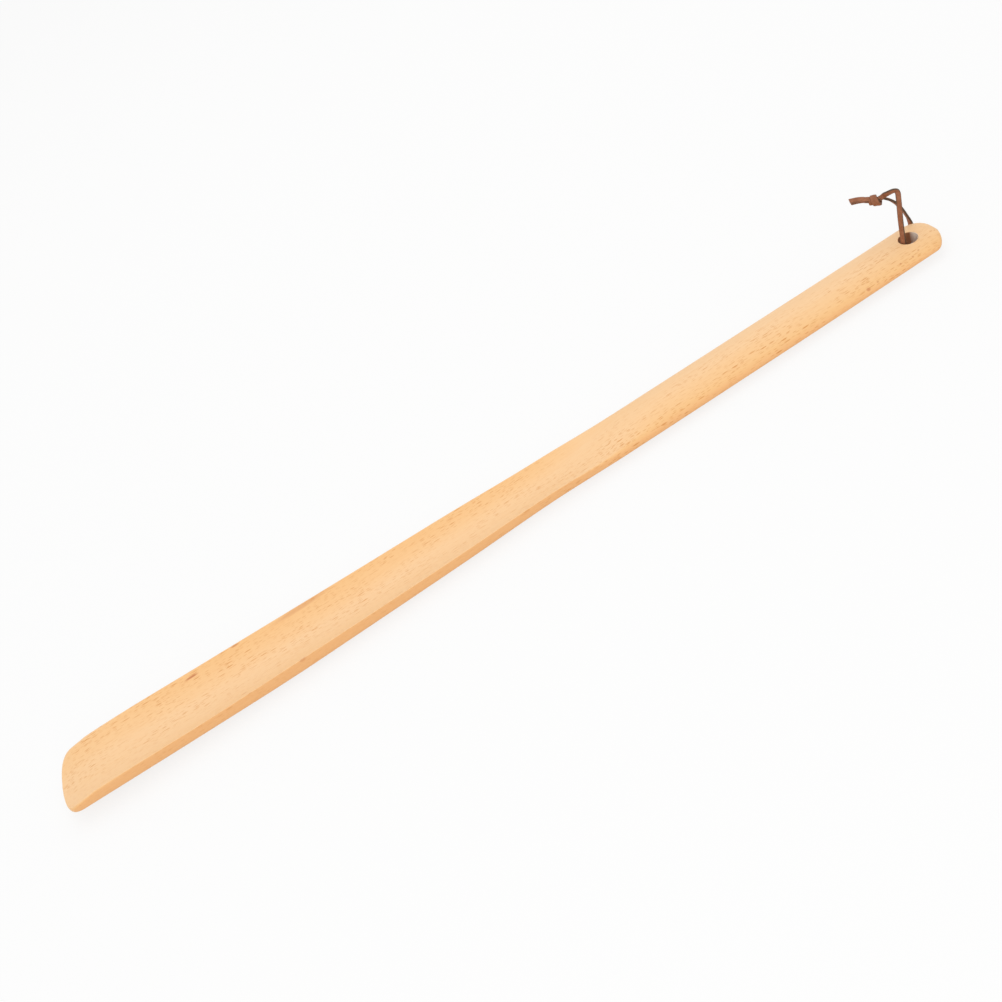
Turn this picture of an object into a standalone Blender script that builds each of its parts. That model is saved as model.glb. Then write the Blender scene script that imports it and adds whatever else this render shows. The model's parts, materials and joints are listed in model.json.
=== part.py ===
"""A long wooden shoe horn with a leather hanging thong, in metres.

The wooden body lies on its back with the scoop up. X runs along it from the tip of the blade to the
end of the handle, Y runs across and Z is up. The origin is on the resting plane, under the middle of
the body. A lace is looped through the hole near the handle's end and tied in one overhand knot.
"""

import math

import bmesh
import bpy
import numpy as np
from mathutils import Vector

# Length and widths of the wooden body: full at the blade's front, narrowest at the waist
LENGTH = 0.550
BLADE_WIDTH = 0.0416
FRONT_WIDTH = 0.0409
FRONT_AT = 0.070
REAR_WIDTH = 0.0366
SHANK_WIDTH = 0.0337
WAIST_WIDTH = 0.0295
GRIP_WIDTH = 0.0309
END_WIDTH = 0.0303

# How far before the scoop's end the last three of the blade's widths are taken
REAR_FROM_GRIP = 0.160
SHANK_FROM_GRIP = 0.100
WAIST_FROM_GRIP = 0.040

# Plan of the two ends: how far back each rounding starts, how full its curve is, and the share of it
# that is rounded before the small flat at its very end
TIP_ROUNDING = 0.0109
TIP_FULLNESS = 2.45
END_ROUNDING = 0.0100
END_FULLNESS = 1.70
NOSE_FULLNESS = 2.4
ROUNDED_SHARE = 0.99

# The scoop, measured from the tip
SCOOP_LENGTH = 0.340
SCOOP_DEPTH = 0.0062
SCOOP_DEEPEST_AT = 0.110
SCOOP_TIP_DEPTH = 0.0035
SCOOP_NECK_DEPTH = 0.0040
SCOOP_NECK_AT = 0.295
SCOOP_RUN_OUT = 0.035

# Height of the blade's two rims above the resting plane
TIP_RIM_HEIGHT = 0.0111
HIGHEST_RIM = 0.0146
HIGHEST_RIM_AT = 0.022
FRONT_RIM_HEIGHT = 0.0127
FRONT_RIM_AT = 0.090
REAR_RIM_HEIGHT = 0.0110
WAIST_RIM_HEIGHT = 0.0095
NECK_RIM_HEIGHT = 0.0080

# The handle's lens-shaped section: the height of its sides and how far its face swells above them
GRIP_SIDE_HEIGHT = 0.0075
GRIP_SWELL = 0.0043
END_SIDE_HEIGHT = 0.0069
END_SWELL = 0.0040

# Lower corners of the sides, above the resting plane, before they are rounded
TIP_CORNER_HEIGHT = 0.0074
BLADE_CORNER_HEIGHT = 0.0050
BLADE_CORNER_AT = 0.080
BELLY_CORNER_HEIGHT = 0.0030
BELLY_CORNER_AT = 0.150
NECK_CORNER_HEIGHT = 0.0031
GRIP_CORNER_HEIGHT = 0.0034
GRIP_CORNER_FROM_END = 0.080
END_CORNER_HEIGHT = 0.0042

# The back: a narrow flat to lie on, which rises towards the tip and, for the thong, to the end
TIP_LIFT = 0.0040
FLAT_FROM_TIP = 0.150
FLAT_FROM_END = 0.095
END_LIFT = 0.0038
FLAT_SHARE = 0.30

# Softened edges: the upper edge is rounder at the tip and on the handle than along the blade
TIP_EDGE = 0.0025
TIP_EDGE_ENDS = 0.060
RIM_EDGE = 0.0008
GRIP_EDGE = 0.0040
BACK_EDGE = 0.0032
HOLE_EDGE = 0.0004

# The hanging hole
HOLE_DIAMETER = 0.0104
HOLE_FROM_END = 0.0166

# The lace
LACE_DIAMETER = 0.0018
KNOT_STRAND = 0.0016
KNOT_GAP = 0.00045

# Fineness of the model
TOP_STEPS = 10
EDGE_STEPS = 5
BACK_STEPS = 4
HOLE_SIDES = 48
LACE_SPACING = 0.0016

# The loop's route, from the knot over the top, down through the hole, under the handle and up round
# its far corner to the knot again: distances from the hole's axis, and heights above the table
LOOP_ROUTE = (
    (-0.0030, 0.0091, 0.0372),
    (-0.0024, 0.0069, 0.0387),
    (-0.0014, 0.0045, 0.0403),
    (-0.0006, 0.0029, 0.0410),
    (0.0000, 0.0017, 0.0408),
    (0.0001, 0.0011, 0.0395),
    (-0.0001, 0.0010, 0.0375),
    (-0.0006, 0.0010, 0.0324),
    (-0.0019, 0.0004, 0.0225),
    (-0.0033, -0.0010, 0.0120),
    (-0.0034, -0.0012, 0.0085),
    (-0.0032, -0.0002, 0.0056),
    (-0.0024, 0.0015, 0.0030),
    (-0.0004, 0.0034, 0.0016),
    (0.0030, 0.0060, 0.0013),
    (0.0070, 0.0092, 0.0014),
    (0.0105, 0.0125, 0.0024),
    (0.0121, 0.0141, 0.0054),
    (0.0119, 0.0147, 0.0093),
    (0.0105, 0.0143, 0.0134),
    (0.0083, 0.0130, 0.0185),
    (0.0057, 0.0114, 0.0235),
    (0.0029, 0.0101, 0.0282),
    (0.0003, 0.0097, 0.0317),
    (-0.0016, 0.0100, 0.0336),
    (-0.0028, 0.0105, 0.0347),
)
KNOT_CENTRE = (-0.0071, 0.0119, 0.0353)
KNOT_HALF = 0.0032
TAIL_ROUTES = {
    "thong_tail_upper": (
        (-0.0111, 0.0146, 0.0374),
        (-0.0120, 0.0158, 0.0380),
        (-0.0139, 0.0184, 0.0381),
        (-0.0160, 0.0214, 0.0375),
    ),
    "thong_tail_lower": (
        (-0.0109, 0.0143, 0.0349),
        (-0.0121, 0.0159, 0.0356),
        (-0.0140, 0.0185, 0.0357),
        (-0.0154, 0.0206, 0.0352),
    ),
}


def shader(name, colour, roughness):
    """A plain material in the piece's own colour."""
    material = bpy.data.materials.new(name)
    material.use_nodes = True
    surface = material.node_tree.nodes["Principled BSDF"]
    surface.inputs["Base Color"].default_value = (*colour, 1.0)
    surface.inputs["Roughness"].default_value = roughness
    surface.inputs["Metallic"].default_value = 0.0
    material.diffuse_color = (*colour, 1.0)
    return material


def through(stations, x):
    """Height at x of a smooth curve, without overshoot, through (place, value) stations."""
    places, values = zip(*stations)
    if x <= places[0]:
        return values[0]
    if x >= places[-1]:
        return values[-1]
    runs = [b - a for a, b in zip(places, places[1:])]
    slopes = [(b - a) / run for a, b, run in zip(values, values[1:], runs)]
    tangents = [slopes[0]]
    for before, after, run, following in zip(slopes, slopes[1:], runs, runs[1:]):
        if before * after <= 0:
            tangents.append(0.0)
            continue
        near, far = 2 * following + run, following + 2 * run
        tangents.append((near + far) / (near / before + far / after))
    tangents.append(slopes[-1])
    i = max(k for k in range(len(runs)) if places[k] <= x)
    t = (x - places[i]) / runs[i]
    start = (1 + 2 * t) * (1 - t) ** 2 * values[i] + t * (1 - t) ** 2 * runs[i] * tangents[i]
    end = t * t * (3 - 2 * t) * values[i + 1] + t * t * (t - 1) * runs[i] * tangents[i + 1]
    return start + end


def rounding(share, fullness):
    """Share of the full size that is left at this share of the way into a rounded end."""
    return (1 - share**fullness) ** (1 / fullness)


def full_half_width(x):
    """Half of the body's width before its two ends are rounded."""
    stations = (
        (TIP_ROUNDING, BLADE_WIDTH / 2),
        (FRONT_AT, FRONT_WIDTH / 2),
        (SCOOP_LENGTH - REAR_FROM_GRIP, REAR_WIDTH / 2),
        (SCOOP_LENGTH - SHANK_FROM_GRIP, SHANK_WIDTH / 2),
        (SCOOP_LENGTH - WAIST_FROM_GRIP, WAIST_WIDTH / 2),
        (SCOOP_LENGTH, GRIP_WIDTH / 2),
        (LENGTH, END_WIDTH / 2),
    )
    return through(stations, x)


def into_end(x):
    """Share of the way into the rounding of the handle's end."""
    return min(max(1 - (LENGTH - x) / END_ROUNDING, 0.0), ROUNDED_SHARE)


def half_width(x):
    """Half of the body's width in plan."""
    into_tip = min(max(1 - x / TIP_ROUNDING, 0.0), ROUNDED_SHARE)
    return full_half_width(x) * rounding(into_tip, TIP_FULLNESS) * rounding(into_end(x), END_FULLNESS)


def side_height(x):
    """Height at which the upper face meets the side."""
    stations = (
        (0.0, TIP_RIM_HEIGHT),
        (HIGHEST_RIM_AT, HIGHEST_RIM),
        (FRONT_RIM_AT, FRONT_RIM_HEIGHT),
        (SCOOP_LENGTH - REAR_FROM_GRIP, REAR_RIM_HEIGHT),
        (SCOOP_LENGTH - WAIST_FROM_GRIP, WAIST_RIM_HEIGHT),
        (SCOOP_LENGTH, NECK_RIM_HEIGHT),
        (SCOOP_LENGTH + SCOOP_RUN_OUT, GRIP_SIDE_HEIGHT),
        (LENGTH, END_SIDE_HEIGHT),
    )
    return through(stations, x)


def swell(x):
    """Rise of the upper face above its sides: hollow in the blade, full in the handle."""
    stations = (
        (0.0, -SCOOP_TIP_DEPTH),
        (SCOOP_DEEPEST_AT, -SCOOP_DEPTH),
        (SCOOP_NECK_AT, -SCOOP_NECK_DEPTH),
        (SCOOP_LENGTH + SCOOP_RUN_OUT, GRIP_SWELL),
        (LENGTH, END_SWELL),
    )
    return through(stations, x)


def corner_height(x):
    """Height of the side's lower corner, before it is rounded."""
    stations = (
        (0.0, TIP_CORNER_HEIGHT),
        (BLADE_CORNER_AT, BLADE_CORNER_HEIGHT),
        (BELLY_CORNER_AT, BELLY_CORNER_HEIGHT),
        (SCOOP_LENGTH, NECK_CORNER_HEIGHT),
        (LENGTH - GRIP_CORNER_FROM_END, GRIP_CORNER_HEIGHT),
        (LENGTH, END_CORNER_HEIGHT),
    )
    return through(stations, x)


def back_height(x):
    """Height of the back along its middle."""
    stations = (
        (0.0, TIP_LIFT),
        (FLAT_FROM_TIP, 0.0),
        (LENGTH - FLAT_FROM_END, 0.0),
        (LENGTH, END_LIFT),
    )
    return through(stations, x)


def edge_softness(x):
    """Width over which the upper edge is softened."""
    stations = (
        (0.0, TIP_EDGE),
        (TIP_EDGE_ENDS, RIM_EDGE),
        (SCOOP_LENGTH - WAIST_FROM_GRIP, RIM_EDGE),
        (SCOOP_LENGTH + SCOOP_RUN_OUT / 2, GRIP_EDGE),
    )
    return through(stations, x)


def upper_face(x, y):
    """Height of the upper face, which is one shallow arc across."""
    return side_height(x) + swell(x) * (1 - (y / full_half_width(x)) ** 2)


def lower_face(x, y):
    """Height of the back, which is flat in the middle and curves up to the corners."""
    out = (abs(y) / full_half_width(x) - FLAT_SHARE) / (1 - FLAT_SHARE)
    return back_height(x) + (corner_height(x) - back_height(x)) * max(out, 0.0) ** 1.5


def softened(before, corner, after, steps):
    """Points on the curve that takes a corner away, both ends included."""
    points = []
    for step in range(steps + 1):
        t = step / steps
        weights = ((1 - t) ** 2, 2 * t * (1 - t), t * t)
        points.append([sum(w * p[k] for w, p in zip(weights, (before, corner, after))) for k in (0, 1)])
    return points


def half_section(x):
    """(y, z) points of the section at x, from the middle of the upper face round to the back."""
    width = half_width(x)
    top, bottom = upper_face(x, width), lower_face(x, width)
    side = top - bottom
    reach = min(edge_softness(x), 0.45 * width)
    drop = min(edge_softness(x), 0.48 * side)
    back_reach = min(BACK_EDGE, 0.45 * width)
    back_rise = min(BACK_EDGE, 0.48 * side)

    points = []
    for step in range(TOP_STEPS):
        y = (width - reach) * step / TOP_STEPS
        points.append([y, upper_face(x, y)])
    shoulder = (width - reach, upper_face(x, width - reach))
    points += softened(shoulder, (width, top), (width, top - drop), EDGE_STEPS)
    heel = (width - back_reach, lower_face(x, width - back_reach))
    points += softened((width, bottom + back_rise), (width, bottom), heel, EDGE_STEPS)
    flat = min(FLAT_SHARE * full_half_width(x), 0.8 * (width - back_reach))
    for step in range(1, BACK_STEPS + 1):
        y = heel[0] + (flat - heel[0]) * step / BACK_STEPS
        points.append([y, lower_face(x, y)])
    points.append([0.0, lower_face(x, 0.0)])
    return points


def section(x):
    """The whole section at x as world points, with the handle's end drawn in to a round nose."""
    half = half_section(x)
    shrink = rounding(into_end(x), NOSE_FULLNESS)
    middle = (side_height(x) + corner_height(x)) / 2
    half = [(y, middle + (z - middle) * shrink) for y, z in half]
    whole = half + [(-y, z) for y, z in half[-2:0:-1]]
    return [(x - LENGTH / 2, y, z) for y, z in whole]


def stations_along():
    """Places of the sections: close together where the shape turns quickly."""
    quarter = math.pi / 2
    tip = [TIP_ROUNDING * (1 - math.cos(quarter * k / 12)) for k in range(12)]
    blade = list(np.linspace(TIP_ROUNDING, SCOOP_NECK_AT, 30))
    neck = list(np.linspace(SCOOP_NECK_AT, SCOOP_LENGTH + SCOOP_RUN_OUT, 15))[1:]
    grip = list(np.linspace(SCOOP_LENGTH + SCOOP_RUN_OUT, LENGTH - END_ROUNDING, 18))[1:]
    end = [LENGTH - END_ROUNDING * (1 - math.sin(quarter * (k + 1) / 10)) for k in range(10)]
    return tip + blade + neck + grip + end


def mesh_object(name, shape, material):
    """An object of this name that holds the bmesh."""
    mesh = bpy.data.meshes.new(name)
    shape.to_mesh(mesh)
    shape.free()
    mesh.shade_smooth()
    mesh.set_sharp_from_angle(angle=math.radians(35))
    made = bpy.data.objects.new(name, mesh)
    bpy.context.scene.collection.objects.link(made)
    if material:
        mesh.materials.append(material)
    return made


def lofted(rings):
    """A closed bmesh skin over rings of equally many points."""
    shape = bmesh.new()
    rows = [[shape.verts.new(point) for point in ring] for ring in rings]
    for first, second in zip(rows, rows[1:]):
        for k in range(len(first)):
            n = (k + 1) % len(first)
            shape.faces.new((first[k], first[n], second[n], second[k]))
    shape.faces.new(rows[0][::-1])
    shape.faces.new(rows[-1])
    bmesh.ops.recalc_face_normals(shape, faces=shape.faces)
    return shape


def hole_place():
    """World X of the hole's axis."""
    return LENGTH / 2 - HOLE_FROM_END


def hole_cutter():
    """A round cutter that widens a little where it leaves the two faces of the handle."""
    x = LENGTH - HOLE_FROM_END
    radius = HOLE_DIAMETER / 2
    top, bottom = upper_face(x, 0.0), back_height(x)
    spare = 0.004
    profile = (
        (bottom - spare, radius + HOLE_EDGE + spare),
        (bottom, radius + HOLE_EDGE),
        (bottom + HOLE_EDGE, radius),
        (top - HOLE_EDGE, radius),
        (top, radius + HOLE_EDGE),
        (top + spare, radius + HOLE_EDGE + spare),
    )
    rings = []
    for height, wide in profile:
        turns = [2 * math.pi * k / HOLE_SIDES for k in range(HOLE_SIDES)]
        rings.append([(hole_place() + wide * math.cos(a), wide * math.sin(a), height) for a in turns])
    cutter = mesh_object("hole_cutter", lofted(rings), None)
    cutter.hide_render = True
    cutter.display_type = "WIRE"
    return cutter


def make_body(material):
    """The wooden body: one loft from the hollow blade to the full handle, with the hole cut in."""
    body = mesh_object("horn_body", lofted([section(x) for x in stations_along()]), material)
    cut = body.modifiers.new("hanging_hole", "BOOLEAN")
    cut.operation = "DIFFERENCE"
    cut.solver = "EXACT"
    cut.object = hole_cutter()
    return body


def smooth_route(route, spacing):
    """Evenly spaced points on a smooth curve through the route's own points."""
    given = [Vector(p) for p in route]
    padded = [2 * given[0] - given[1]] + given + [2 * given[-1] - given[-2]]
    fine = []
    for a, b, c, d in zip(padded, padded[1:], padded[2:], padded[3:]):
        for step in range(12):
            t = step / 12
            fine.append(
                0.5 * (2 * b + (c - a) * t + (2 * a - 5 * b + 4 * c - d) * t**2 + (3 * b - 3 * c + d - a) * t**3)
            )
    fine.append(given[-1])
    travelled = [0.0]
    for a, b in zip(fine, fine[1:]):
        travelled.append(travelled[-1] + (b - a).length)
    count = max(round(travelled[-1] / spacing), 3)
    places = np.linspace(0.0, travelled[-1], count + 1)
    axes = [np.interp(places, travelled, [p[k] for p in fine]) for k in range(3)]
    return [Vector(p) for p in zip(*axes)]


def tube(name, points, diameter, material):
    """A round tube with closed ends along these points."""
    data = bpy.data.curves.new(name, "CURVE")
    data.dimensions = "3D"
    data.bevel_depth = diameter / 2
    data.bevel_resolution = 2
    data.use_fill_caps = True
    line = data.splines.new("POLY")
    line.points.add(len(points) - 1)
    for point, place in zip(line.points, points):
        point.co = (*place, 1.0)
    data.materials.append(material)
    made = bpy.data.objects.new(name, data)
    bpy.context.scene.collection.objects.link(made)
    return made


def loose_overhand(count, size):
    """Evenly spaced points on an open overhand knot whose ends leave along X."""
    t = np.linspace(-2.35, 2.35, 900)
    course = size * np.column_stack([t**3 - 3 * t, t**4 - 4 * t**2, (t**5 - 10 * t) / 5])
    steps = np.linalg.norm(np.diff(course, axis=0), axis=1)
    travelled = np.concatenate([[0.0], np.cumsum(steps)])
    places = np.linspace(0.0, travelled[-1], count)
    points = np.column_stack([np.interp(places, travelled, course[:, k]) for k in range(3)])
    return points, travelled[-1] / (count - 1)


def tight_overhand(clear):
    """The overhand knot drawn tight: its ends are pulled apart until no two stretches of it can come
    closer than clear, centre to centre."""
    points, step = loose_overhand(90, clear * 0.49)
    first, second = np.triu_indices(len(points), 1)
    apart = (second - first) * step > 1.55 * clear
    first, second = first[apart], second[apart]
    pull = np.array([clear * 0.011, 0.0, 0.0])
    for _ in range(750):
        points[0] -= pull
        points[-1] += pull
        points[[0, -1], 1:] *= 0.98
        points[1:-1] += 0.35 * ((points[:-2] + points[2:]) / 2 - points[1:-1])
        for _ in range(6):
            run = np.diff(points, axis=0)
            length = np.linalg.norm(run, axis=1, keepdims=True)
            give = 0.45 * (length - step) / length * run
            points[:-1] += give
            points[1:] -= give
            between = points[second] - points[first]
            distance = np.linalg.norm(between, axis=1)
            close = distance < clear
            push = (0.35 * (clear - distance[close]) / distance[close])[:, None] * between[close]
            np.add.at(points, first[close], -push)
            np.add.at(points, second[close], push)
    return points


def least_gap(points, diameter):
    """Smallest gap between two stretches of a tube that aren't neighbours along it."""
    steps = np.linalg.norm(np.diff(points, axis=0), axis=1)
    travelled = np.concatenate([[0.0], np.cumsum(steps)])
    distance = np.linalg.norm(points[:, None] - points[None], axis=2)
    apart = np.abs(travelled[:, None] - travelled[None]) > 1.6 * diameter + 1.6 * KNOT_GAP
    return float(distance[apart].min()) - diameter


def knot_points():
    """The knot's course in place: it lies along the handle, and both its ends leave on its upper side."""
    points = tight_overhand(KNOT_STRAND + KNOT_GAP)
    points = points[np.abs(points[:, 0]) <= KNOT_HALF]
    print(f"least gap inside the knot {1000 * least_gap(points, KNOT_STRAND):.2f} mm")
    points[:, 1] -= (points[:, 1].max() + points[:, 1].min()) / 2
    centre = np.array(KNOT_CENTRE) + (hole_place(), 0.0, 0.0)
    along, across, up = -points[:, 0], points[:, 2], points[:, 1]
    return [Vector(p) for p in np.column_stack([along, across, up]) + centre]


def at_hole(route):
    """The route with its distances taken from the hole's axis."""
    return [(x + hole_place(), y, z) for x, y, z in route]


def make_thong(material):
    """The lace: its loop, the knot and two tails, which turn about the hole's axis."""
    axis = bpy.data.objects.new("thong_axis", None)
    axis.location = (hole_place(), 0.0, 0.0)
    axis.empty_display_size = 0.01
    bpy.context.scene.collection.objects.link(axis)

    loop = tube("thong_loop", smooth_route(at_hole(LOOP_ROUTE), LACE_SPACING), LACE_DIAMETER, material)
    knot = tube("thong_knot", knot_points(), KNOT_STRAND, material)
    pieces = [loop, knot]
    for name, route in TAIL_ROUTES.items():
        pieces.append(tube(name, smooth_route(at_hole(route), LACE_SPACING), LACE_DIAMETER, material))
    bpy.context.view_layer.update()
    for piece in pieces:
        piece.parent = axis
        piece.matrix_parent_inverse = axis.matrix_world.inverted()
    return pieces


def main():
    for old in list(bpy.data.objects):
        bpy.data.objects.remove(old, do_unlink=True)
    beech = shader("oiled_beech", (0.85, 0.55, 0.28), 0.5)
    leather = shader("brown_leather", (0.27, 0.09, 0.035), 0.6)
    make_body(beech)
    make_thong(leather)


main()
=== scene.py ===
"""The looks of a long wooden shoe horn with a leather hanging thong, and a small studio around it.

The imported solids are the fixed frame. The wooden body is a smoothed copy of its own solid with a
beech finish. The thong is a flat lace, which follows the routes of its solids. All lengths are in
metres.
"""

import json
import math

import bpy
import numpy as np
from mathutils import Matrix, Vector

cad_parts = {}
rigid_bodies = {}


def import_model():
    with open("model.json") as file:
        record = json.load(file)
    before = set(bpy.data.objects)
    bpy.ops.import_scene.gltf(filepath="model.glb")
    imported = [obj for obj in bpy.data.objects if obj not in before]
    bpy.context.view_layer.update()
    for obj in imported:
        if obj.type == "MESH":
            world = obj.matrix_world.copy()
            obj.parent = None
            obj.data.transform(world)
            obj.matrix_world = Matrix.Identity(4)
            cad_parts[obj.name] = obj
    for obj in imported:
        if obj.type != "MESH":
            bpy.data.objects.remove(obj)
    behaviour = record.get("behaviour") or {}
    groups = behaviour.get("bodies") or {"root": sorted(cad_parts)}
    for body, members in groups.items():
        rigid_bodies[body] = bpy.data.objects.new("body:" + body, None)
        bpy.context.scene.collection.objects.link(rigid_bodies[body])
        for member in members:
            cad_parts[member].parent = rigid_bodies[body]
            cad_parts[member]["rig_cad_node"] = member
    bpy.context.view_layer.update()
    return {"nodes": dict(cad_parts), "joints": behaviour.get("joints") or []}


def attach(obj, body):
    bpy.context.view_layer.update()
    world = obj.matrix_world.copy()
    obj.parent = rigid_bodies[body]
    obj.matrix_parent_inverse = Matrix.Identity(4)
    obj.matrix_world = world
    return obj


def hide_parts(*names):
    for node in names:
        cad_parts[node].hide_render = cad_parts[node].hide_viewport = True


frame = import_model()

bl_info = {
    "name": "Shoe Horn",
    "version": (1, 0, 0),
    "blender": (4, 5, 0),
    "location": "3D View > Sidebar > Shoe Horn",
    "description": "Adds a wooden shoe horn with a knotted leather thong, and a studio for it",
    "category": "Add Mesh",
}

HOLE = Vector(frame["joints"][0]["pos_m"])
HOLE.z = 0.0

# The lace's route, from the knot over the top, down through the hole, under the handle and up round
# its far corner: its places from the hole's axis, and the way that its smooth side faces there. The
# tails' routes run from the knot to their cut ends.
LOOP_ROUTE = (
    ((-0.0068, 0.0116, 0.0354), (-0.70, -0.36, 0.45)),
    ((-0.0053, 0.0110, 0.0355), (-0.74, -0.36, 0.40)),
    ((-0.0040, 0.0101, 0.0361), (-0.78, -0.36, 0.30)),
    ((-0.0030, 0.0091, 0.0372), (-0.78, -0.42, 0.10)),
    ((-0.0024, 0.0069, 0.0387), (-0.76, -0.52, -0.25)),
    ((-0.0014, 0.0045, 0.0403), (-0.72, -0.60, -0.35)),
    ((-0.0006, 0.0029, 0.0410), (-0.62, -0.74, -0.25)),
    ((0.0000, 0.0017, 0.0408), (-0.48, -0.87, -0.12)),
    ((0.0001, 0.0011, 0.0395), (-0.38, -0.92, -0.05)),
    ((-0.0001, 0.0010, 0.0375), (-0.36, -0.93, 0.0)),
    ((-0.0006, 0.0010, 0.0324), (-0.46, -0.89, 0.0)),
    ((-0.0020, 0.0004, 0.0225), (-0.80, -0.60, 0.0)),
    ((-0.0035, -0.0009, 0.0120), (-0.88, -0.47, 0.0)),
    ((-0.0036, -0.0011, 0.0085), (-0.88, -0.47, 0.0)),
    ((-0.0032, -0.0002, 0.0056), (-0.80, -0.58, -0.15)),
    ((-0.0024, 0.0015, 0.0030), (-0.50, -0.50, -0.70)),
    ((-0.0004, 0.0034, 0.0016), (-0.20, -0.20, -0.95)),
    ((0.0030, 0.0060, 0.0013), (0.0, 0.0, -1.0)),
    ((0.0070, 0.0092, 0.0014), (0.05, 0.05, -1.0)),
    ((0.0105, 0.0125, 0.0024), (0.45, 0.35, -0.80)),
    ((0.0121, 0.0141, 0.0054), (0.82, 0.52, -0.15)),
    ((0.0119, 0.0147, 0.0093), (0.97, 0.05, 0.15)),
    ((0.0105, 0.0143, 0.0134), (0.95, -0.06, 0.27)),
    ((0.0083, 0.0130, 0.0185), (0.90, 0.00, 0.40)),
    ((0.0057, 0.0114, 0.0235), (0.82, 0.12, 0.52)),
    ((0.0029, 0.0101, 0.0282), (0.75, 0.15, 0.62)),
    ((0.0003, 0.0097, 0.0317), (0.62, 0.10, 0.75)),
    ((-0.0016, 0.0100, 0.0336), (0.50, 0.08, 0.82)),
    ((-0.0028, 0.0105, 0.0347), (0.35, 0.10, 0.90)),
    ((-0.0038, 0.0108, 0.0352), (0.20, 0.12, 0.95)),
    ((-0.0050, 0.0112, 0.0352), (0.10, 0.12, 0.97)),
    ((-0.0062, 0.0117, 0.0351), (0.10, 0.12, 0.97)),
)
TAIL_ROUTES = {
    "lace_tail_upper": (
        ((-0.0088, 0.0130, 0.0366), (-0.38, -0.19, 0.91)),
        ((-0.0100, 0.0138, 0.0370), (-0.38, -0.19, 0.91)),
        ((-0.0112, 0.0146, 0.0373), (-0.38, -0.19, 0.91)),
        ((-0.0122, 0.0158, 0.0376), (-0.38, -0.19, 0.91)),
        ((-0.0142, 0.0183, 0.0375), (-0.38, -0.19, 0.91)),
        ((-0.0163, 0.0213, 0.0367), (-0.38, -0.19, 0.91)),
    ),
    "lace_tail_lower": (
        ((-0.0084, 0.0130, 0.0356), (-0.38, -0.19, 0.91)),
        ((-0.0096, 0.0138, 0.0360), (-0.38, -0.19, 0.91)),
        ((-0.0107, 0.0147, 0.0364), (-0.38, -0.19, 0.91)),
        ((-0.0117, 0.0160, 0.0366), (-0.38, -0.19, 0.91)),
        ((-0.0137, 0.0186, 0.0362), (-0.38, -0.19, 0.91)),
        ((-0.0157, 0.0216, 0.0352), (-0.38, -0.19, 0.91)),
    ),
}

# The knot's wrap: its middle from the hole's axis, its axis from the tails to the loop and its
# front, its middle radius and that of the core, and in radians from the top where it starts and
# ends and how quickly it rises from the core, in so many rings. Each of its strands has a place
# along the axis, a lean and a lift.
KNOT_CENTRE = (-0.0071, 0.0119, 0.0353)
KNOT_AXIS = (0.75, -0.66, 0.0)
KNOT_FRONT = (-0.41, -0.72, 0.56)
KNOT_RADIUS = 0.0021
KNOT_CORE = 0.0009
KNOT_STRANDS = (
    (-0.0021, 0.0003, -0.0005),
    (-0.0006, 0.0015, 0.0002),
    (0.0008, 0.0023, 0.0003),
)
KNOT_TURNS = (-2.3, 5.4)
KNOT_DIVE = 1.2
KNOT_RINGS = 120

# The lace's section: how many corners it has, and how round it is along its width and along its
# thickness, where 1 is an ellipse and 0 a box
SECTION_SIDES = 20
ROUNDNESS = (0.45, 0.55)

# Steps between the rings of the loop and of the tails, and how many places the smooth curve has
# between two places of a route
LOOP_STEP = 0.0005
TAIL_STEP = 0.0004
CURVE_STEPS = 12

# A knot strand's width as a share of the lace's, the slant of the tails' ends, and how dark the
# edges of the knot and the tails are: partly the cut edges' own colour, partly painted shade,
# deeper in the knot where the strands crowd
KNOT_WIDTH = 0.85
TAIL_SLANT = 0.5
KNOT_EDGE_DEPTH = 0.7
TAIL_EDGE_DEPTH = 0.4

# Where the edges' darker colour starts, as a share of the half width, and the share in which it
# deepens: partly the cut edges' own colour, partly painted shade
EDGE_START = 0.80
EDGE_FADE = 0.14

# The lace's UV map counts millimetres
UV_PER_METRE = 1000

# The few reddish streaks on the blade and dots on the handle: place, half size along X, Y and Z,
# and depth of colour
STREAKS = (
    ((-0.1908, 0.0171, 0.0112), (0.0048, 0.0007, 0.0040), 0.80),
    ((-0.1630, 0.0189, 0.0117), (0.0032, 0.0006, 0.0040), 0.60),
    ((-0.1225, 0.0175, 0.0108), (0.0210, 0.0016, 0.0040), 0.28),
    ((-0.1675, -0.0150, 0.0096), (0.0024, 0.0007, 0.0020), 0.40),
    ((-0.1325, -0.0190, 0.0110), (0.0026, 0.0008, 0.0015), 0.35),
    ((0.2215, -0.0137, 0.0075), (0.0015, 0.0010, 0.0040), 0.60),
    ((0.2280, -0.0131, 0.0079), (0.0008, 0.0006, 0.0040), 0.45),
    ((0.2440, -0.0117, 0.0086), (0.0008, 0.0006, 0.0040), 0.50),
    ((0.2516, -0.0121, 0.0084), (0.0008, 0.0006, 0.0040), 0.50),
    ((0.2564, -0.0107, 0.0090), (0.0008, 0.0006, 0.0040), 0.45),
)

# Two kinds of fleck: how many cells there are in a metre along X, Y and Z, the share of the cells
# that hold a fleck, and how dark the kind is. FLECK_DEPTH is how dark both are together, and
# CHANCE_STEP the span of chance from no fleck to a full one.
FINE_FLECKS = ((270.0, 2100.0, 1300.0), 0.66, 0.75)
BOLD_FLECKS = ((165.0, 1450.0, 900.0), 0.22, 1.0)
FLECK_DEPTH = 0.9
CHANCE_STEP = 0.04

# Features in a metre along X, Y and Z for the noises of the wood and the leather. The fibres alone
# count in a millimetre, across the lace and along it.
CLUSTERS = (28.0, 130.0, 130.0)
WOOD_BANDS = (6.0, 70.0, 70.0)
WOOD_GRAIN = (55.0, 1500.0, 1500.0)
RUBBED_PATCHES = (420.0, 420.0, 420.0)
LEATHER_PORES = (2600.0, 2600.0, 2600.0)
LEATHER_FIBRES = (3.0, 0.35, 1.0)

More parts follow.
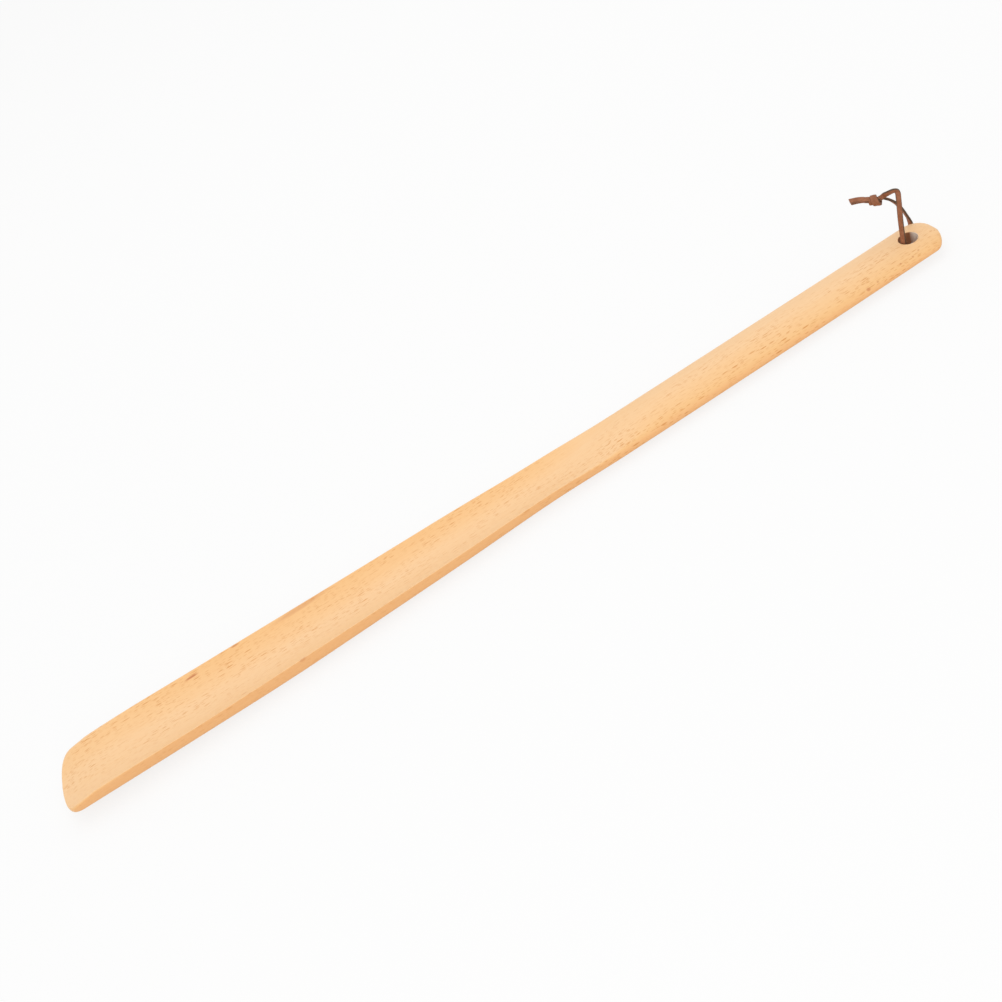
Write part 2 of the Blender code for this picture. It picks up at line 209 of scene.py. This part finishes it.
# Ramps: the two values between which each one runs and, unless they are 0 and 1, its results there.
# The flecks' are by the distance from a cell's point, by chance, by Y on the blade and on the
# handle, by X from the blade to the handle, and by the noise of the clusters.
FLECK_EDGE = (0.44, 0.24)
FLECK_TONES = (0.0, 1.0, 0.3, 1.0)
FLECKS_ON_BLADE = (-0.012, 0.0, 0.50, 1.0)
FLECKS_ON_HANDLE = (0.007, -0.003, 0.18, 1.3)
HANDLE_START = (0.0, 0.05)
FLECKS_IN_CLUSTERS = (0.32, 0.58, 0.22, 1.0)
STREAK_EDGE = (1.0, 0.45)
WARM_IN_BANDS = (0.35, 0.68, 0.0, 0.30)
WARM_IN_GRAIN = (0.35, 0.75, 0.0, 0.12)
# Painted shade: the warm colour, then the side colour, come in as the surface turns to the near
# side
WARM_SHADE_BY_LEAN = (0.05, 0.55)
SIDE_SHADE_BY_LEAN = (0.50, 0.95)
RUBBED = (0.42, 0.66)
DARK_FIBRES = (0.35, 0.75, 0.0, 0.5)
LEATHER_ROUGHNESS = (0.3, 0.7, 0.52, 0.72)

# The grain in which the wood's roughness changes, and how far it changes either way
ROUGH_GRAIN = (0.3, 0.7)
ROUGHNESS_SPREAD = 0.06

# The hole's wall, in painted shade: its colour by the distance from the hole's axis, the way to its
# side with a painted lit patch, and that patch's colour by the distance along that way
WALL_BY_RADIUS = (0.0054, 0.0052)
LIT_PATCH_WAY = (1.0, -0.02, 0.0)
LIT_PATCH_BY_WAY = (0.0035, 0.0050)

# The relief of the wood and the leather, as strength and depth, and the refraction of both
WOOD_RELIEF = (0.35, 0.00008)
LEATHER_RELIEF = (0.5, 0.00012)
REFRACTION = 1.45

# The reach in which the body's equal corners are merged, the angles up to which its triangles are
# joined, and the angles up to which the edges of the body and the lace look smooth
MERGE_REACH = 0.000002
JOIN_ANGLE = math.radians(20)
JOIN_SHAPE = math.radians(40)
SMOOTH_BODY = math.radians(35)
SMOOTH_LACE = math.radians(50)

# The studio: the width of the camera's sensor in millimetres, each lamp's place and width, the
# floor's height, just under the horn, its colour, and the share of its look that is plain white
SENSOR_WIDTH = 36.0
KEY_PLACE = (0.10, 0.50, 1.30)
KEY_WIDTH = 1.3
FILL_PLACE = (-0.10, -0.90, 0.70)
FILL_WIDTH = 1.0
FLOOR_HEIGHT = -0.0003
FLOOR_COLOUR = (0.86, 0.86, 0.855, 1.0)
FLOOR_WHITE = 0.80
WHITE = (1.0, 1.0, 1.0, 1.0)


class WoodSettings(bpy.types.PropertyGroup):
    """Finish of the beech body"""

    # Pale, warm and side are one wood as lit and as shaded: blended by how far the surface faces
    # the near side, they paint shade on the near half and on the near side; warm also tints the
    # grain
    pale: bpy.props.FloatVectorProperty(
        name="Pale wood", description="Colour of the surfaces that face up", subtype="COLOR",
        size=4, min=0.0, max=1.0, default=(0.915, 0.605, 0.330, 1.0))
    warm: bpy.props.FloatVectorProperty(
        name="Warm wood", description="Colour of the surfaces that lean to the near side",
        subtype="COLOR", size=4, min=0.0, max=1.0, default=(0.898, 0.538, 0.233, 1.0))
    side: bpy.props.FloatVectorProperty(
        name="Side wood", description="Colour of the near side itself", subtype="COLOR", size=4,
        min=0.0, max=1.0, default=(0.88, 0.475, 0.195, 1.0))
    fleck: bpy.props.FloatVectorProperty(
        name="Flecks", description="Colour of the short dark flecks", subtype="COLOR", size=4,
        min=0.0, max=1.0, default=(0.66, 0.265, 0.058, 1.0))
    streak: bpy.props.FloatVectorProperty(
        name="Streaks", description="Colour of the few reddish streaks", subtype="COLOR", size=4,
        min=0.0, max=1.0, default=(0.52, 0.15, 0.045, 1.0))
    # The hole's wall: painted shade on its dark side and a painted lit patch on its other side
    bore_wall_shade: bpy.props.FloatVectorProperty(
        name="Hole wall", description="Colour of the hanging hole's wall on its dark side",
        subtype="COLOR", size=4, min=0.0, max=1.0, default=(0.32, 0.125, 0.048, 1.0))
    bore_wall_lit_patch: bpy.props.FloatVectorProperty(
        name="Hole wall, far side", description="Colour of the hole's wall on its paler side",
        subtype="COLOR", size=4, min=0.0, max=1.0, default=(1.0, 0.88, 0.75, 1.0))
    roughness: bpy.props.FloatProperty(
        name="Roughness", description="Dullness of the oiled surface", subtype="FACTOR",
        min=0.0, max=1.0, default=0.52)


class LaceSettings(bpy.types.PropertyGroup):
    """Size and finish of the leather lace"""

    width: bpy.props.FloatProperty(
        name="Width", description="Width of the flat lace", subtype="DISTANCE", unit="LENGTH",
        min=0.001, max=0.006, default=0.0028)
    thickness: bpy.props.FloatProperty(
        name="Thickness", description="Thickness of the flat lace", subtype="DISTANCE",
        unit="LENGTH", min=0.0005, max=0.003, default=0.0014)
    face: bpy.props.FloatVectorProperty(
        name="Leather", description="Colour of the lace's faces", subtype="COLOR", size=4,
        min=0.0, max=1.0, default=(0.315, 0.103, 0.040, 1.0))
    worn: bpy.props.FloatVectorProperty(
        name="Worn leather", description="Colour of the rubbed patches", subtype="COLOR", size=4,
        min=0.0, max=1.0, default=(0.41, 0.150, 0.070, 1.0))
    # The cut colour darkens the fibres, and darkens the lace's edges partly as their own colour and
    # partly as painted shade
    cut: bpy.props.FloatVectorProperty(
        name="Cut edges", description="Colour of the dark cut edges", subtype="COLOR", size=4,
        min=0.0, max=1.0, default=(0.085, 0.046, 0.022, 1.0))


class StageSettings(bpy.types.PropertyGroup):
    """The studio: camera, floor and lights"""

    lens: bpy.props.FloatProperty(
        name="Lens", description="Focal length on a 36 mm wide sensor, in millimetres",
        min=10.0, max=200.0, default=42.61)
    place: bpy.props.FloatVectorProperty(
        name="Camera place", description="Where the camera stands", subtype="TRANSLATION",
        unit="LENGTH", size=3, default=(-0.035222, -0.471833, 0.420040))
    elevation: bpy.props.FloatProperty(
        name="Elevation", description="How far the camera looks down", subtype="ANGLE",
        default=math.radians(40.830))
    roll: bpy.props.FloatProperty(
        name="Roll", description="How far the camera is tipped sideways", subtype="ANGLE",
        default=math.radians(30.406))
    yaw: bpy.props.FloatProperty(
        name="Yaw", description="How far the camera is turned about the vertical", subtype="ANGLE",
        default=math.radians(3.914))
    floor_size: bpy.props.FloatProperty(
        name="Floor size", description="Side of the square floor", subtype="DISTANCE",
        unit="LENGTH", min=1.0, max=20.0, default=8.0)
    key_power: bpy.props.FloatProperty(
        name="Key light", description="Power of the large light above the horn, in watts",
        min=0.0, max=200.0, default=3.1)
    fill_power: bpy.props.FloatProperty(
        name="Fill light", description="Power of the light on the camera's side, in watts",
        min=0.0, max=200.0, default=2.15)
    sky: bpy.props.FloatProperty(
        name="Sky", description="Strength of the even light from all round",
        min=0.0, max=3.0, default=0.855)


# Small helpers


def deselect_all():
    """Leaves object mode with nothing selected."""
    if bpy.context.object and bpy.context.object.mode != "OBJECT":
        bpy.ops.object.mode_set(mode="OBJECT")
    bpy.ops.object.select_all(action="DESELECT")


def pick(thing):
    """Makes one object the only selected and active one."""
    deselect_all()
    thing.select_set(True)
    bpy.context.view_layer.objects.active = thing


def add_node(tree, kind, inputs=None, **settings):
    """A new shader node. A socket given as an input is linked, and any other value is set."""
    made = tree.nodes.new(kind)
    for key, value in settings.items():
        setattr(made, key, value)
    for key, value in (inputs or {}).items():
        if isinstance(value, bpy.types.NodeSocket):
            tree.links.new(value, made.inputs[key])
        else:
            made.inputs[key].default_value = value
    return made


def noise(tree, place, scale, detail, roughness=0.5):
    """Noise with its own scale along each axis."""
    stretched = add_node(tree, "ShaderNodeMapping", {"Vector": place, "Scale": scale})
    return add_node(tree, "ShaderNodeTexNoise", {
        "Vector": stretched.outputs[0], "Scale": 1.0, "Detail": detail, "Roughness": roughness,
    }).outputs["Fac"]


def ramp(tree, value, low, high, low_out=0.0, high_out=1.0):
    """The value moved from one range to another, kept within it."""
    return add_node(tree, "ShaderNodeMapRange", {
        "Value": value, "From Min": low, "From Max": high, "To Min": low_out, "To Max": high_out,
    }).outputs["Result"]


def combined(tree, operation, first, second):
    """Two values put through one operation."""
    return add_node(tree, "ShaderNodeMath", {0: first, 1: second}, operation=operation).outputs[0]


def times(tree, first, second):
    """Two values multiplied."""
    return combined(tree, "MULTIPLY", first, second)


def blended(tree, share, first, second, how="MIX"):
    """Two colours mixed by a share."""
    return add_node(tree, "ShaderNodeMix", {0: share, 6: first, 7: second},
                    data_type="RGBA", blend_type=how).outputs[2]


def relief(tree, height, strength, depth):
    """A normal that follows a height."""
    return add_node(tree, "ShaderNodeBump", {
        "Strength": strength, "Distance": depth, "Height": height,
    }).outputs[0]


def new_material(name):
    """A material with its node tree and its Principled shader."""
    material = bpy.data.materials.new(name)
    material.use_nodes = True
    return material, material.node_tree, material.node_tree.nodes["Principled BSDF"]


# Materials


def dashes(tree, place, cells, share, strength):
    """Short dashes along X: one in each cell of a stretched pattern, in a share of the cells."""
    stretched = add_node(tree, "ShaderNodeMapping", {"Vector": place, "Scale": cells})
    cell = add_node(tree, "ShaderNodeTexVoronoi", {"Vector": stretched.outputs[0], "Scale": 1.0})
    luck = add_node(tree, "ShaderNodeSeparateColor", {"Color": cell.outputs["Color"]})
    kept = ramp(tree, luck.outputs["Red"], 1.0 - share, 1.0 + CHANCE_STEP - share)
    depth = times(tree, kept, ramp(tree, luck.outputs["Green"], *FLECK_TONES))
    dash = times(tree, ramp(tree, cell.outputs["Distance"], *FLECK_EDGE), depth)
    return times(tree, dash, strength)


def mark(tree, place, centre, half_sizes):
    """A soft mark round one place, with its own half size along each axis."""
    off = add_node(tree, "ShaderNodeVectorMath", {0: place, 1: centre}, operation="SUBTRACT")
    scaled = add_node(tree, "ShaderNodeVectorMath", {0: off.outputs[0], 1: half_sizes},
                      operation="DIVIDE")
    reach = add_node(tree, "ShaderNodeVectorMath", {0: scaled.outputs[0]}, operation="LENGTH")
    return ramp(tree, reach.outputs["Value"], *STREAK_EDGE)


def fleck_share(tree, place):
    """Where the flecks are: all over the blade, and on the handle mostly along its near half."""
    split = add_node(tree, "ShaderNodeSeparateXYZ", {"Vector": place})
    on_blade = ramp(tree, split.outputs["Y"], *FLECKS_ON_BLADE)
    on_handle = ramp(tree, split.outputs["Y"], *FLECKS_ON_HANDLE)
    handle = ramp(tree, split.outputs["X"], *HANDLE_START)
    mixed = add_node(tree, "ShaderNodeMix", {0: handle, 2: on_blade, 3: on_handle},
                     data_type="FLOAT")
    clusters = ramp(tree, noise(tree, place, CLUSTERS, 1.0), *FLECKS_IN_CLUSTERS)
    return times(tree, mixed.outputs[0], clusters)


def streaks(tree, place):
    """The few reddish streaks and dots."""
    shares = [times(tree, mark(tree, place, centre, half_sizes), depth)
              for centre, half_sizes, depth in STREAKS]
    total = shares[0]
    for share in shares[1:]:
        total = combined(tree, "MAXIMUM", total, share)
    return total


def oiled_beech(settings):
    """Pale beech whose grain runs along X, with short flecks, painted shade where the surface faces
    the near side, and its own colours in the hole: painted shade and a painted lit patch.
    """
    material, tree, surface = new_material("oiled_beech")
    place = add_node(tree, "ShaderNodeTexCoord").outputs["Object"]
    lean = add_node(tree, "ShaderNodeAttribute", attribute_name="lean").outputs["Fac"]

    bands = ramp(tree, noise(tree, place, WOOD_BANDS, 2.0), *WARM_IN_BANDS)
    grain = noise(tree, place, WOOD_GRAIN, 3.0, 0.6)
    fine = dashes(tree, place, *FINE_FLECKS)
    bold = dashes(tree, place, *BOLD_FLECKS)
    flecks = times(tree, combined(tree, "MAXIMUM", fine, bold), fleck_share(tree, place))

    # Painted shade: warmer, then the side colour, where the surface faces the near side
    colour = blended(tree, ramp(tree, lean, *WARM_SHADE_BY_LEAN), settings.pale, settings.warm)
    colour = blended(tree, bands, colour, settings.warm)
    colour = blended(tree, ramp(tree, lean, *SIDE_SHADE_BY_LEAN), colour, settings.side)
    colour = blended(tree, ramp(tree, grain, *WARM_IN_GRAIN), colour, settings.warm, "MULTIPLY")
    colour = blended(tree, times(tree, flecks, FLECK_DEPTH), colour, settings.fleck)
    colour = blended(tree, streaks(tree, place), colour, settings.streak)

    # The hole's wall: painted shade, with a painted lit patch towards one side
    from_axis = add_node(tree, "ShaderNodeVectorMath", {0: place, 1: HOLE}, operation="SUBTRACT")
    flat = add_node(tree, "ShaderNodeVectorMath", {0: from_axis.outputs[0], 1: (1.0, 1.0, 0.0)},
                    operation="MULTIPLY")
    radius = add_node(tree, "ShaderNodeVectorMath", {0: flat.outputs[0]},
                      operation="LENGTH").outputs["Value"]
    turned = add_node(tree, "ShaderNodeVectorMath", {0: flat.outputs[0], 1: LIT_PATCH_WAY},
                      operation="DOT_PRODUCT").outputs["Value"]
    wall = blended(tree, ramp(tree, turned, *LIT_PATCH_BY_WAY), settings.bore_wall_shade, settings.bore_wall_lit_patch)
    colour = blended(tree, ramp(tree, radius, *WALL_BY_RADIUS), colour, wall)

    height = combined(tree, "SUBTRACT", grain, flecks)
    tree.links.new(colour, surface.inputs["Base Color"])
    tree.links.new(relief(tree, height, *WOOD_RELIEF), surface.inputs["Normal"])
    dull = settings.roughness
    rough = ramp(tree, grain, *ROUGH_GRAIN, dull - ROUGHNESS_SPREAD, dull + ROUGHNESS_SPREAD)
    tree.links.new(rough, surface.inputs["Roughness"])
    surface.inputs["IOR"].default_value = REFRACTION
    return material


def brown_leather(settings):
    """Lace leather: rubbed reddish-brown faces, edges darkened partly by their own cut colour and
    partly by painted shade, and a fine grain.
    """
    material, tree, surface = new_material("brown_leather")
    place = add_node(tree, "ShaderNodeTexCoord").outputs["Object"]
    along = add_node(tree, "ShaderNodeUVMap", uv_map="lace").outputs[0]
    edge = add_node(tree, "ShaderNodeAttribute", attribute_name="edge_tone_and_shade").outputs["Fac"]

    rubbed = ramp(tree, noise(tree, place, RUBBED_PATCHES, 2.0), *RUBBED)
    pores = noise(tree, place, LEATHER_PORES, 3.0, 0.6)
    fibres = noise(tree, along, LEATHER_FIBRES, 3.0, 0.6)
    colour = blended(tree, rubbed, settings.face, settings.worn)
    colour = blended(tree, ramp(tree, fibres, *DARK_FIBRES), colour, settings.cut)
    # The edges darker: partly the cut edges' own colour, partly painted shade
    colour = blended(tree, edge, colour, settings.cut)

    height = combined(tree, "ADD", pores, fibres)
    tree.links.new(colour, surface.inputs["Base Color"])
    tree.links.new(relief(tree, height, *LEATHER_RELIEF), surface.inputs["Normal"])
    tree.links.new(ramp(tree, pores, *LEATHER_ROUGHNESS), surface.inputs["Roughness"])
    surface.inputs["IOR"].default_value = REFRACTION
    return material


def leather_of(context):
    """The lace's one material, made when it is first asked for."""
    return bpy.data.materials.get("brown_leather") or brown_leather(context.scene.horn_lace)


# The lace


def distances(places):
    """How far along a course each of its places lies."""
    steps = np.linalg.norm(np.diff(places, axis=0), axis=1)
    return np.concatenate([[0.0], np.cumsum(steps)])


def smooth_course(route, spacing):
    """Evenly spaced places on a smooth curve through a route's places, and the facings there."""
    given = [np.array([*place, *facing]) for place, facing in route]
    padded = [2 * given[0] - given[1]] + given + [2 * given[-1] - given[-2]]
    fine = []
    for a, b, c, d in zip(padded, padded[1:], padded[2:], padded[3:]):
        for t in np.arange(0.0, 1.0, 1 / CURVE_STEPS):
            square = 2 * a - 5 * b + 4 * c - d
            cube = 3 * b - 3 * c + d - a
            fine.append(0.5 * (2 * b + (c - a) * t + square * t**2 + cube * t**3))
    fine = np.array(fine + [given[-1]])
    travelled = distances(fine[:, :3])
    count = max(round(travelled[-1] / spacing), 4)
    even = np.linspace(0.0, travelled[-1], count + 1)
    both = np.column_stack([np.interp(even, travelled, fine[:, k]) for k in range(6)])
    return both[:, :3] + np.array(HOLE), both[:, 3:]


def lengthways(places):
    """Unit directions along a course."""
    along = np.gradient(places, axis=0)
    return along / np.linalg.norm(along, axis=1, keepdims=True)


def squared(facings, along):
    """The facings turned square to the course, at unit length."""
    facings = facings - (facings * along).sum(1, keepdims=True) * along
    return facings / np.linalg.norm(facings, axis=1, keepdims=True)


def lace_mesh(name, strands, width, thickness, material, slant=0.0, edge_depth=1.0):
    """A mesh of flat strands, each given as its places and its facings. The section is a rounded
    oblong, and slant moves its far corner on at the strand's end."""
    sides = SECTION_SIDES
    section = []
    for k in range(sides):
        turn = 2 * math.pi * (k + 0.5) / sides
        c, s = math.cos(turn), math.sin(turn)
        section.append((math.copysign(abs(c) ** ROUNDNESS[0], c),
                        math.copysign(abs(s) ** ROUNDNESS[1], s)))
    verts, faces, edges, uvs = [], [], [], []
    for places, facings in strands:
        along = lengthways(places)
        facings = squared(facings, along)
        across = np.cross(along, facings)
        travelled = distances(places)
        start = len(verts)
        last = len(places) - 1
        for i, centre in enumerate(places):
            lean = slant * (i / last) ** 3
            for a, b in section:
                sideways, upward = a * width / 2, b * thickness / 2
                verts.append(centre + across[i] * sideways + facings[i] * upward
                             + along[i] * lean * sideways)
                # How dark each corner is at the edges: partly the cut edges' own colour, partly
                # painted shade
                edges.append(edge_depth * min(max((abs(a) - EDGE_START) / EDGE_FADE, 0.0), 1.0))
                uvs.append((UV_PER_METRE * sideways, UV_PER_METRE * travelled[i]))
        for i in range(last):
            for k in range(sides):
                n = (k + 1) % sides
                one, two = start + i * sides, start + (i + 1) * sides
                faces.append((one + k, one + n, two + n, two + k))
        faces.append([start + k for k in range(sides)][::-1])
        faces.append([start + last * sides + k for k in range(sides)])
    mesh = bpy.data.meshes.new(name)
    mesh.from_pydata([tuple(v) for v in verts], [], faces)
    layer = mesh.attributes.new("edge_tone_and_shade", "FLOAT", "POINT")
    layer.data.foreach_set("value", edges)
    cloth = mesh.uv_layers.new(name="lace")
    for loop in mesh.loops:
        cloth.data[loop.index].uv = uvs[loop.vertex_index]
    made = bpy.data.objects.new(name, mesh)
    bpy.context.scene.collection.objects.link(made)
    mesh.materials.append(material)
    pick(made)
    bpy.ops.object.mode_set(mode="EDIT")
    bpy.ops.mesh.select_all(action="SELECT")
    bpy.ops.mesh.normals_make_consistent(inside=False)
    bpy.ops.object.mode_set(mode="OBJECT")
    bpy.ops.object.shade_smooth_by_angle(angle=SMOOTH_LACE)
    return made


def store_lean_for_shade(piece):
    """Stores on each face corner how far the surface there faces the near side, which sets the
    wood's painted shade.
    """
    mesh = piece.data
    normals = np.empty(3 * len(mesh.loops))
    mesh.corner_normals.foreach_get("vector", normals)
    layer = mesh.attributes.new("lean", "FLOAT", "CORNER")
    layer.data.foreach_set("value", -normals[1::3])


def finish_piece(piece, body, slot, *nodes):
    """Ties a piece to its body and hides the solids that it stands for. Its slot is not used."""
    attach(piece, body)
    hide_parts(*nodes)


# The knot


def eased(share):
    """A share kept between 0 and 1, with a soft start and end."""
    share = np.clip(share, 0.0, 1.0)
    return share * share * (3 - 2 * share)


def knot_strands():
    """The strands of the knot: they rise out of the tails, go once round the core with a lean,
    and dive in again where the loop starts."""
    axis = np.array(KNOT_AXIS) / np.linalg.norm(KNOT_AXIS)
    out = np.array(KNOT_FRONT) - np.dot(KNOT_FRONT, axis) * axis
    out /= np.linalg.norm(out)
    up = np.cross(out, axis)
    turns = np.linspace(*KNOT_TURNS, KNOT_RINGS)
    depth = eased((turns - turns[0]) / KNOT_DIVE) * eased((turns[-1] - turns) / KNOT_DIVE)
    down = -0.5 * np.cos(np.clip(turns, 0.0, math.pi))
    facings = np.outer(np.cos(turns), up) + np.outer(np.sin(turns), out)
    centre = np.array(HOLE) + np.array(KNOT_CENTRE)
    strands = []
    for place, lean, lift in KNOT_STRANDS:
        radius = KNOT_CORE + (KNOT_RADIUS + lift - KNOT_CORE) * depth
        shift = np.outer(place + lean * down, axis)
        strands.append((centre + radius[:, None] * facings + shift, facings))
    return strands


# The operators, one for each piece or group of like pieces


class ShoeHornAddBody(bpy.types.Operator):
    """Adds the beech body: a merged and smoothed copy of its solid"""

    bl_idname = "shoehorn.add_body"
    bl_label = "Add wooden body"

    def execute(self, context):
        pick(frame["nodes"]["horn_body"])
        bpy.ops.object.duplicate()
        body = context.object
        body.name = body.data.name = "beech_body"
        del body["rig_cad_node"]
        bpy.ops.object.mode_set(mode="EDIT")
        bpy.ops.mesh.select_all(action="SELECT")
        bpy.ops.mesh.remove_doubles(threshold=MERGE_REACH)
        bpy.ops.mesh.tris_convert_to_quads(face_threshold=JOIN_ANGLE, shape_threshold=JOIN_SHAPE)
        bpy.ops.object.mode_set(mode="OBJECT")
        bpy.ops.object.shade_smooth_by_angle(angle=SMOOTH_BODY)
        weighted = body.modifiers.new("face_weight", "WEIGHTED_NORMAL")
        weighted.keep_sharp = True
        bpy.ops.object.modifier_apply(modifier=weighted.name)
        store_lean_for_shade(body)
        body.data.materials.clear()
        body.data.materials.append(oiled_beech(context.scene.horn_wood))
        finish_piece(body, "horn", "beech", "horn_body")
        return {"FINISHED"}


class ShoeHornAddKnot(bpy.types.Operator):
    """Adds the knot, which wraps both strands of the lace"""

    bl_idname = "shoehorn.add_knot"
    bl_label = "Add knot"

    def execute(self, context):
        lace = context.scene.horn_lace
        knot = lace_mesh("lace_knot", knot_strands(), KNOT_WIDTH * lace.width, lace.thickness,
                         leather_of(context), edge_depth=KNOT_EDGE_DEPTH)
        finish_piece(knot, "thong", "leather", "thong_knot")
        return {"FINISHED"}


class ShoeHornAddTails(bpy.types.Operator):
    """Adds the two short tails past the knot"""

    bl_idname = "shoehorn.add_tails"
    bl_label = "Add tails"

    def execute(self, context):
        lace = context.scene.horn_lace
        for name, route in TAIL_ROUTES.items():
            tail = lace_mesh(name, [smooth_course(route, TAIL_STEP)], lace.width, lace.thickness,
                             leather_of(context), slant=TAIL_SLANT, edge_depth=TAIL_EDGE_DEPTH)
            finish_piece(tail, "thong", "leather", name.replace("lace", "thong"))
        return {"FINISHED"}


class ShoeHornAddLoop(bpy.types.Operator):
    """Adds the lace from the knot through the hole and back"""

    bl_idname = "shoehorn.add_loop"
    bl_label = "Add lace loop"

    def execute(self, context):
        lace = context.scene.horn_lace
        places, facings = smooth_course(LOOP_ROUTE, LOOP_STEP)
        loop = lace_mesh("lace_loop", [(places, facings)], lace.width, lace.thickness,
                         leather_of(context))
        finish_piece(loop, "thong", "leather", "thong_loop")
        return {"FINISHED"}


class ShoeHornAddStage(bpy.types.Operator):
    """Adds the camera, the pale floor and the soft lights"""

    bl_idname = "shoehorn.add_stage"
    bl_label = "Add studio"

    def execute(self, context):
        stage = context.scene.horn_stage
        add_camera(stage)
        add_floor(stage)
        add_lights(stage)
        context.scene.view_settings.view_transform = "Standard"
        return {"FINISHED"}


# The studio


def add_camera(stage):
    """The camera at the photograph's angle."""
    camera = bpy.data.objects.new("camera", bpy.data.cameras.new("camera"))
    bpy.context.scene.collection.objects.link(camera)
    camera.data.sensor_width = SENSOR_WIDTH
    camera.data.lens = stage.lens
    camera.data.clip_start = 0.01
    tilt = Matrix((
        (1.0, 0.0, 0.0),
        (0.0, math.sin(stage.elevation), math.cos(stage.elevation)),
        (0.0, math.cos(stage.elevation), -math.sin(stage.elevation)),
    ))
    roll, yaw = Matrix.Rotation(stage.roll, 3, "Z"), Matrix.Rotation(stage.yaw, 3, "Z")
    right, up, forward = roll @ tilt @ yaw
    turned = Matrix((right, up, -forward)).transposed()
    camera.matrix_world = Matrix.Translation(stage.place) @ turned.to_4x4()
    bpy.context.scene.camera = camera


def seen_share(tree):
    """1 where the camera sees a surface itself, also through glass or in a reflection, and 0 where
    only the surface's light counts."""
    rays = add_node(tree, "ShaderNodeLightPath")
    share = rays.outputs["Is Camera Ray"]
    for other in ("Is Glossy Ray", "Is Transmission Ray"):
        share = combined(tree, "MAXIMUM", share, rays.outputs[other])
    return share


def add_floor(stage):
    """A wide pale floor, which looks nearly white and keeps the horn's soft shadow."""
    deselect_all()
    bpy.ops.mesh.primitive_plane_add(size=stage.floor_size, location=(0.0, 0.0, FLOOR_HEIGHT))
    floor = bpy.context.object
    floor.name = "floor"
    bpy.ops.object.transform_apply(location=True, rotation=True, scale=True)
    material, tree, surface = new_material("pale_floor")
    surface.inputs["Base Color"].default_value = FLOOR_COLOUR
    surface.inputs["Roughness"].default_value = 0.9
    surface.inputs["Specular IOR Level"].default_value = 0.0
    white = add_node(tree, "ShaderNodeEmission", {"Color": WHITE, "Strength": 1.0})
    mixed = add_node(tree, "ShaderNodeMixShader", {
        0: times(tree, seen_share(tree), FLOOR_WHITE), 1: surface.outputs[0], 2: white.outputs[0]})
    tree.links.new(mixed.outputs[0], tree.nodes["Material Output"].inputs["Surface"])
    floor.data.materials.append(material)


def add_lights(stage):
    """An even sky, a large soft light above the horn and a weaker one on the camera's side."""
    world = bpy.data.worlds.new("studio")
    bpy.context.scene.world = world
    world.use_nodes = True
    tree = world.node_tree
    ground = tree.nodes["Background"]
    ground.inputs["Color"].default_value = WHITE
    strength = add_node(tree, "ShaderNodeMapRange", {
        "Value": seen_share(tree), "To Min": stage.sky, "To Max": 1.0})
    tree.links.new(strength.outputs["Result"], ground.inputs["Strength"])

    add_lamp("key", stage.key_power, KEY_PLACE, KEY_WIDTH)
    add_lamp("fill", stage.fill_power, FILL_PLACE, FILL_WIDTH)


def add_lamp(name, power, place, width):
    """A round area light that faces the origin."""
    lamp = bpy.data.lights.new(name, "AREA")
    lamp.energy = power
    lamp.shape = "DISK"
    lamp.size = width
    made = bpy.data.objects.new(name, lamp)
    bpy.context.scene.collection.objects.link(made)
    made.location = place
    made.rotation_mode = "QUATERNION"
    made.rotation_quaternion = (-made.location).to_track_quat("-Z", "Y")


# The sidebar panel


class SHOEHORN_PT_build(bpy.types.Panel):
    """Sizes, colours and buttons of the shoe horn"""

    bl_idname = "SHOEHORN_PT_build"
    bl_label = "Shoe Horn"
    bl_space_type = "VIEW_3D"
    bl_region_type = "UI"
    bl_category = "Shoe Horn"

    def draw(self, context):
        scene = context.scene
        for settings in (scene.horn_wood, scene.horn_lace, scene.horn_stage):
            box = self.layout.box()
            for name in settings.bl_rna.properties.keys():
                if name not in ("rna_type", "name"):
                    box.prop(settings, name)
        for operator in OPERATORS:
            self.layout.operator(operator.bl_idname)


OPERATORS = (ShoeHornAddBody, ShoeHornAddKnot, ShoeHornAddTails, ShoeHornAddLoop, ShoeHornAddStage)
CLASSES = (WoodSettings, LaceSettings, StageSettings, *OPERATORS, SHOEHORN_PT_build)


def register():
    for one in CLASSES:
        bpy.utils.register_class(one)
    bpy.types.Scene.horn_wood = bpy.props.PointerProperty(type=WoodSettings)
    bpy.types.Scene.horn_lace = bpy.props.PointerProperty(type=LaceSettings)
    bpy.types.Scene.horn_stage = bpy.props.PointerProperty(type=StageSettings)


def unregister():
    for name in ("horn_wood", "horn_lace", "horn_stage"):
        delattr(bpy.types.Scene, name)
    for one in reversed(CLASSES):
        bpy.utils.unregister_class(one)


def main():
    register()
    bpy.ops.shoehorn.add_body()
    bpy.ops.shoehorn.add_knot()
    bpy.ops.shoehorn.add_tails()
    bpy.ops.shoehorn.add_loop()
    bpy.ops.shoehorn.add_stage()


if __name__ == "__main__":
    main()
